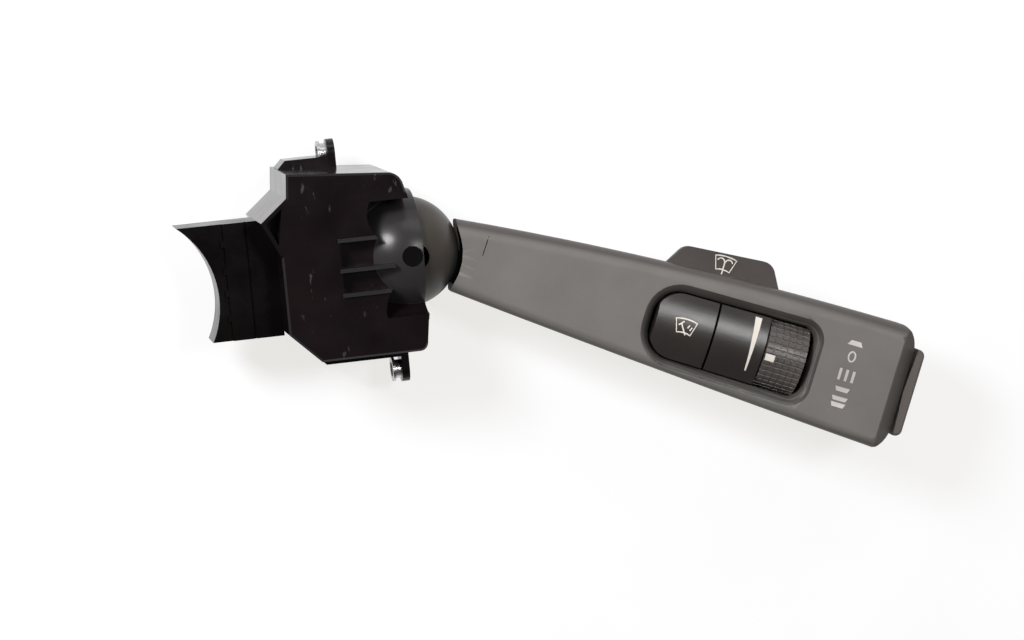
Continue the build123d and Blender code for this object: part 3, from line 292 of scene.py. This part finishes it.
node_materials = {
    housing_black: ("front_cover", "rear_case", "upper_bracket", "lower_bracket", "connector_shroud"),
    saddle_black: ("column_saddle",),
    ball_black: ("ball_dome",),
    lever_charcoal: ("front_shell",),
    wing_charcoal: ("rear_shell",),
    control_black: ("sensor_button", "control_carrier"),
    wheel_black: ("thumbwheel",),
    rocker_charcoal: ("end_rocker",),
    core_black: ("pivot_frame", "lever_core"),
    natural_nylon: ("detent_cam", "contact_slider"),
    pad_silicone: ("button_pad",),
    board_green: ("circuit_board", "lever_board"),
    zinc_steel: (
        "upper_bush", "lower_bush", "cover_screws", "cross_pin", "detent_plunger", "shell_screws",
        "wheel_axle", "rocker_pin",
    ),
    spring_steel: ("detent_spring", "wheel_click_spring"),
    contact_brass: ("terminal_pins", "fixed_contacts", "slider_contacts"),
}
for material, nodes in node_materials.items():
    for node in nodes:
        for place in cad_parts[node].material_slots:
            place.material = material


# ------------------------------------------------------------------ printed marks, and a sheet of painted shade
def only(piece):
    """Select this piece alone and make it active."""
    bpy.ops.object.select_all(action="DESELECT")
    piece.select_set(True)
    bpy.context.view_layer.objects.active = piece


def settle(piece, surface, material, body):
    """Lay a flat piece (a print, and for the slit a sheet of painted shade) on its surface, put it in the
    lever's frame and let it ride on the body.
    """
    for corner in piece.data.vertices:
        x, y = corner.co.x / MM, corner.co.y / MM
        corner.co.z += surface(x, y) * MM
    only(piece)
    piece.matrix_world = lever_frame
    bpy.ops.object.transform_apply(location=True, rotation=True, scale=True)
    piece.data.materials.append(material)
    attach(piece, body)
    return piece


def flat_patch(name, outline, surface, body, rows=1, ink=None):
    """Solid flat patch on an outline in millimetres, four corners, cut into rows across Y: a printed mark,
    and for the slit a sheet of painted shade.
    """
    ink = ink or print_cream
    bpy.ops.object.select_all(action="DESELECT")
    bpy.ops.mesh.primitive_grid_add(x_subdivisions=rows, y_subdivisions=rows, size=1)
    patch = bpy.context.object
    patch.name = name
    first, second, third, fourth = [Vector(corner) for corner in outline]
    for corner in patch.data.vertices:
        u, v = corner.co.x + 0.5, corner.co.y + 0.5
        low, high = first.lerp(second, u), fourth.lerp(third, u)
        flat = low.lerp(high, v) * MM
        corner.co = (flat.x, flat.y, 0)
    bpy.ops.object.mode_set(mode="EDIT")
    bpy.ops.mesh.select_all(action="SELECT")
    bpy.ops.mesh.extrude_region_move(TRANSFORM_OT_translate={"value": (0, 0, PRINT_THICKNESS * MM)})
    bpy.ops.mesh.select_all(action="SELECT")
    bpy.ops.mesh.normals_make_consistent(inside=False)
    bpy.ops.object.mode_set(mode="OBJECT")
    return settle(patch, surface, ink, body)


def printed_lines(name, lines, width, surface, body, ink=None):
    """Printed line drawing: each line is its points in millimetres and whether it closes."""
    bpy.ops.object.select_all(action="DESELECT")
    drawing = bpy.data.curves.new(name, "CURVE")
    drawing.dimensions = "3D"
    drawing.bevel_depth = width / 2 * MM
    drawing.bevel_resolution = 1
    drawing.use_fill_caps = True
    for points, closed in lines:
        spline = drawing.splines.new("POLY")
        spline.points.add(len(points) - 1)
        for point, (x, y) in zip(spline.points, points):
            point.co = (x * MM, y * MM, 0, 1)
        spline.use_cyclic_u = closed
    piece = bpy.data.objects.new(name, drawing)
    bpy.context.collection.objects.link(piece)
    only(piece)
    bpy.ops.object.convert(target="MESH")
    piece = bpy.context.object
    piece.name = name
    bpy.ops.object.mode_set(mode="EDIT")
    bpy.ops.mesh.select_all(action="SELECT")
    bpy.ops.transform.resize(value=(1, 1, 2 * PRINT_THICKNESS / width), center_override=(0, 0, 0))
    bpy.ops.mesh.subdivide(number_cuts=1)
    bpy.ops.object.mode_set(mode="OBJECT")
    return settle(piece, surface, ink or print_cream, body)


def arc(centre, radius, start, stop, steps=10, squash=1.0):
    """Points along an arc, angles in degrees."""
    angles = [radians(start + (stop - start) * step / steps) for step in range(steps + 1)]
    return [(centre[0] + radius * cos(a), centre[1] + squash * radius * sin(a)) for a in angles]


# ------------------------------------------------------------------ front shell with its rounded window
WINDOW_CORNERS = [          # x and y of the corner, its radius, and the angle where its arc starts
    (120.9, 12.2, 4.0, 0), (73.2, 11.6, 8.0, 90), (73.2, -8.0, 8.0, 180), (120.9, -8.8, 4.0, 270)
]
ROUND_WIDTH = 2.3
ROUND_DEPTH = 2.0
ROUND_STEPS = 6
CUTTER_MARGIN = 0.1        # the cutter stands outside the window by this
CUTTER_RISE = 2.0          # and above the face by this
DOUBLES_GAP = 0.002
SHARP_ANGLE = 32.0         # edges at more than this stay sharp, degrees


def window_rim(spread_out):
    """Points round the edge of the window, drawn out by a distance."""
    rim = []
    for x, y, r, start in WINDOW_CORNERS:
        inward = radians(start + 45 + 180)     # from the corner towards the centre of its arc
        centre = (x + r * sqrt(2) * cos(inward), y + r * sqrt(2) * sin(inward))
        rim += arc(centre, r + spread_out, start, start + 90)
    return rim


def dressed_shell():
    """The front shell with the edge of its window rounded over."""
    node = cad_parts["front_shell"]
    shell = bpy.data.objects.new("front_shell_rounded", node.data.copy())
    bpy.context.collection.objects.link(shell)
    shell.data.materials.clear()
    shell.data.materials.append(lever_charcoal)
    only(shell)
    bpy.ops.object.mode_set(mode="EDIT")
    bpy.ops.mesh.select_all(action="SELECT")
    bpy.ops.mesh.remove_doubles(threshold=DOUBLES_GAP * MM)
    bpy.ops.object.mode_set(mode="OBJECT")
    face = top_of(node)
    heights = [face(x, y) for x, y in window_rim(ROUND_WIDTH)]
    rings = []
    for step in range(ROUND_STEPS + 1):
        turn = radians(90 * step / ROUND_STEPS)
        rim = window_rim(CUTTER_MARGIN + ROUND_WIDTH * (1 - cos(turn)))
        rings.append([(x, y, z - ROUND_DEPTH * (1 - sin(turn))) for (x, y), z in zip(rim, heights)])
    rings.append([(x, y, z + CUTTER_RISE) for x, y, z in rings[-1]])
    count = len(heights)
    points = [lever_frame @ (Vector(point) * MM) for ring in rings for point in ring]
    faces = [tuple(range(count))[::-1], tuple(range(count * (len(rings) - 1), count * len(rings)))]
    for ring in range(len(rings) - 1):
        here, above = ring * count, (ring + 1) * count
        for spot in range(count):
            after = (spot + 1) % count
            faces.append((here + spot, here + after, above + after, above + spot))
    cutter_mesh = bpy.data.meshes.new("window_cutter")
    cutter_mesh.from_pydata(points, [], faces)
    # The faces that this cutter leaves on the shell take the darker material: painted shade round the
    # window.
    cutter_mesh.materials.append(recess_shade)
    cutter = bpy.data.objects.new("window_cutter", cutter_mesh)
    bpy.context.collection.objects.link(cutter)
    only(shell)
    cut = shell.modifiers.new("window", "BOOLEAN")
    cut.object = cutter
    cut.operation = "DIFFERENCE"
    cut.solver = "EXACT"
    cut.material_mode = "TRANSFER"
    bpy.ops.object.modifier_apply(modifier="window")
    bpy.data.objects.remove(cutter)
    bpy.ops.object.shade_smooth_by_angle(angle=radians(SHARP_ANGLE))
    weighted = shell.modifiers.new("weighted", "WEIGHTED_NORMAL")
    weighted.keep_sharp = True
    weighted.weight = 100
    bpy.ops.object.modifier_apply(modifier="weighted")
    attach(shell, "lever")
    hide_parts("front_shell")
    return shell


front_shell = dressed_shell()

# speed marks beside the window, from the top of the row downwards
END_X = 132.3              # middle of the row
END_Y = 1.3
ZERO_Y = 6.3               # the zero, above the middle of the row
ZERO_R = 1.0
ZERO_SQUASH = 1.45
MARK_LINE = 0.5
SIGN_LINE = 0.42
SIGN_SIZE = (6.4, 4.6)
on_shell = top_of(front_shell)


def speed_mark(name, corners):
    """Patch beside the window, its corners given from the middle of the row of marks."""
    places = [(END_X + x, END_Y + y) for x, y in corners]
    return flat_patch(name, places, on_shell, "lever", ink=print_faded)


speed_mark("mark_single_wipe", [(-2.4, 9.6), (2.2, 9.6), (1.4, 11.0), (-1.5, 11.0)])
zero = arc((END_X, END_Y + ZERO_Y), ZERO_R, 0, 342, 19, ZERO_SQUASH)
printed_lines("mark_off", [(zero, True)], MARK_LINE, on_shell, "lever", print_faded)
for stroke, offset in enumerate((-2.0, 0.0, 2.0)):
    speed_mark(f"mark_interval_{stroke + 1}", [
        (offset - 0.4, -1.0), (offset + 0.4, -1.0), (offset + 0.4, 2.4), (offset - 0.4, 2.4)
    ])
SPEED_BARS = (("low", -4.2, -2.9, 2.2), ("high_1", -6.9, -5.7, 2.4), ("high_2", -8.8, -7.5, 2.2))
for name, low, high, half in SPEED_BARS:
    speed_mark(f"mark_speed_{name}", [(0.5 - half, low), (half - 0.5, low), (half, high), (-half, high)])

# painted shade: a near-black sheet on the face near its base stands for a parting slit
flat_patch(
    "base_slit_shade", [(21.35, 5.4), (21.55, 5.4), (21.75, 11.2), (21.55, 11.2)],
    on_shell, "lever", 4, core_black,
)

# sensitivity wedge on the bridge, and the wheel's index
flat_patch(
    "mark_wedge", [(103.3, -4.9), (103.7, -4.9), (104.2, 10.9), (102.2, 10.9)],
    top_of(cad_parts["control_carrier"]), "lever", 24,
)
flat_patch(
    "mark_wheel_index", [(107.6, -0.3), (110.4, -0.3), (110.4, 1.7), (107.6, 1.7)],
    wheel_top, "wheel", 6,
)


def windscreen(centre, width, height):
    """Outline of a windscreen: splayed sides between an arched top and an arched foot."""
    x, y = centre
    rise, top_arch, foot_arch, foot_share = 0.42, 0.10, 0.08, 0.32
    steps = (-1, -0.5, 0, 0.5, 1)
    top = [(x + width / 2 * t, y + height * (rise + top_arch * (1 - t * t))) for t in steps]
    foot = [(x + width * foot_share * t, y - height * (rise - foot_arch * (1 - t * t))) for t in steps[::-1]]
    return top + foot, True


BUTTON_SIGN = (83.0, 2.2)
x, y = BUTTON_SIGN
printed_lines(
    "sign_rain_sensor",
    [windscreen(BUTTON_SIGN, *SIGN_SIZE), ([(x + 0.6, y - 2.2), (x - 1.3, y + 0.9)], False),
     ([(x - 2.0, y + 0.2), (x - 0.6, y + 1.6)], False), ([(x + 1.2, y + 0.9), (x + 0.8, y - 0.1)], False),
     ([(x + 2.0, y + 0.4), (x + 1.6, y - 0.6)], False)],
    SIGN_LINE, top_of(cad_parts["sensor_button"]), "button",
)
WING_SIGN = (90.6, 22.5)
x, y = WING_SIGN
printed_lines(
    "sign_washer",
    [windscreen(WING_SIGN, *SIGN_SIZE), ([(x, y - 2.9), (x, y + 0.8)], False),
     (arc((x - 1.2, y + 0.5), 1.1, 15, 165, 6), False), (arc((x + 1.2, y + 0.5), 1.1, 15, 165, 6), False)],
    SIGN_LINE, top_of(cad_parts["rear_shell"]), "lever",
)


# ------------------------------------------------------------------ floor, light and camera
def area_light(name, place, target, size, power):
    """Soft rectangular lamp at a place, aimed at the target."""
    lamp = bpy.data.lights.new(name, "AREA")
    lamp.shape = "RECTANGLE"
    lamp.size, lamp.size_y = size
    lamp.energy = power
    holder = bpy.data.objects.new(name, lamp)
    bpy.context.collection.objects.link(holder)
    holder.location = place
    holder.rotation_euler = (Vector(target) - Vector(place)).to_track_quat("-Z", "Y").to_euler()


def seen_or_mirrored(tree):
    """1 for what the camera, a mirror or glass shows, 0 for the light that it gives."""
    rays = tree.nodes.new("ShaderNodeLightPath")
    total = rays.outputs["Is Camera Ray"]
    for other in ("Is Glossy Ray", "Is Transmission Ray"):
        add = tree.nodes.new("ShaderNodeMath")
        add.operation = "MAXIMUM"
        tree.links.new(total, add.inputs[0])
        tree.links.new(rays.outputs[other], add.inputs[1])
        total = add.outputs[0]
    return total


FLOOR_SIZE = 6.0
FLOOR_Z = -0.0002
FLOOR_GLOW = 0.78          # what the camera sees of the floor's own light
bpy.ops.object.select_all(action="DESELECT")
bpy.ops.mesh.primitive_plane_add(size=FLOOR_SIZE, location=(0, 0, FLOOR_Z))
floor = bpy.context.object
floor.name = "floor"
floor_white, tree, shader = new_material("floor_white")
paper = tint(tree, spread(tree, noise(tree, 30), 0, 1), (0.21, 0.225, 0.26), (0.22, 0.235, 0.27))
tree.links.new(paper, shader.inputs["Base Color"])
shader.inputs["Roughness"].default_value = 0.9
shader.inputs["Specular IOR Level"].default_value = 0.1
glow = tree.nodes.new("ShaderNodeMath")
glow.operation = "MULTIPLY"
glow.inputs[1].default_value = FLOOR_GLOW
tree.links.new(seen_or_mirrored(tree), glow.inputs[0])
shader.inputs["Emission Color"].default_value = (1, 0.98, 0.945, 1)
tree.links.new(glow.outputs[0], shader.inputs["Emission Strength"])
floor.data.materials.append(floor_white)

HORIZON_LIGHT = 0.80       # the room is pale all round and dark overhead
ZENITH_LIGHT = 0.10
SHADED_SIDE = 0.45         # share of that light which is left on the darker side
LIT_DIRECTION = (-0.5, 0.86, 0)
world = bpy.data.worlds.new("studio")
bpy.context.scene.world = world
world.use_nodes = True
tree = world.node_tree
background = tree.nodes["Background"]
background.inputs["Color"].default_value = (1.0, 0.985, 0.96, 1)
directions = tree.nodes.new("ShaderNodeTexCoord")
upward = tree.nodes.new("ShaderNodeSeparateXYZ")
tree.links.new(directions.outputs["Generated"], upward.inputs["Vector"])
room = spread(tree, upward.outputs["Z"], HORIZON_LIGHT, ZENITH_LIGHT, 0.15, 0.75)
sideways = tree.nodes.new("ShaderNodeVectorMath")
sideways.operation = "DOT_PRODUCT"
sideways.inputs[1].default_value = LIT_DIRECTION
tree.links.new(directions.outputs["Generated"], sideways.inputs[0])
shaded = tree.nodes.new("ShaderNodeMath")
shaded.operation = "MULTIPLY"
tree.links.new(room, shaded.inputs[0])
tree.links.new(spread(tree, sideways.outputs["Value"], SHADED_SIDE, 1.0, -0.8, 0.6), shaded.inputs[1])
tree.links.new(shaded.outputs[0], background.inputs["Strength"])

CAMERA_DISTANCE = 1.0
CAMERA_DIRECTION = Vector((-0.1438, 0.0965, 0.985))     # from the ball to the camera
CAMERA_TARGET = Vector((29.6, -23.2, 21.0)) * MM
CAMERA_ROLL = radians(6.5)
SENSOR_WIDTH = 36
FOCAL_PIXELS = 3500
IMAGE_WIDTH = 1024
camera_data = bpy.data.cameras.new("camera")
camera = bpy.data.objects.new("camera", camera_data)
bpy.context.collection.objects.link(camera)
bpy.context.scene.camera = camera
camera_data.sensor_width = SENSOR_WIDTH
camera_data.lens = SENSOR_WIDTH * FOCAL_PIXELS / IMAGE_WIDTH
camera_data.clip_end = 20
camera.location = BALL_CENTRE + CAMERA_DISTANCE * CAMERA_DIRECTION
sight = (CAMERA_TARGET - camera.location).normalized()
level_right = (Vector((1, 0, 0)) - sight * sight.x).normalized()
level_up = (-sight).cross(level_right)
image_right = cos(CAMERA_ROLL) * level_right - sin(CAMERA_ROLL) * level_up
image_up = sin(CAMERA_ROLL) * level_right + cos(CAMERA_ROLL) * level_up
camera.rotation_mode = "QUATERNION"
camera.rotation_quaternion = Matrix((image_right, image_up, -sight)).transposed().to_quaternion()

# the window is up and to the left as the camera sees it, the ceiling light beyond the controls
WINDOW_DISTANCE = 0.9
window_side = -0.448 * image_right + 0.329 * image_up - 0.832 * sight
area_light("window_light", BALL_CENTRE + WINDOW_DISTANCE * window_side, BALL_CENTRE, (0.22, 0.26), 8.0)
area_light("ceiling_light", (0.36, 0.21, 1.12), (0.09, -0.03, 0.03), (0.22, 0.22), 4.2)
area_light("far_light", (0.30, 0.85, 0.65), (0.06, 0.0, 0.02), (0.7, 0.4), 1.5)

bpy.context.scene.view_settings.view_transform = "Standard"
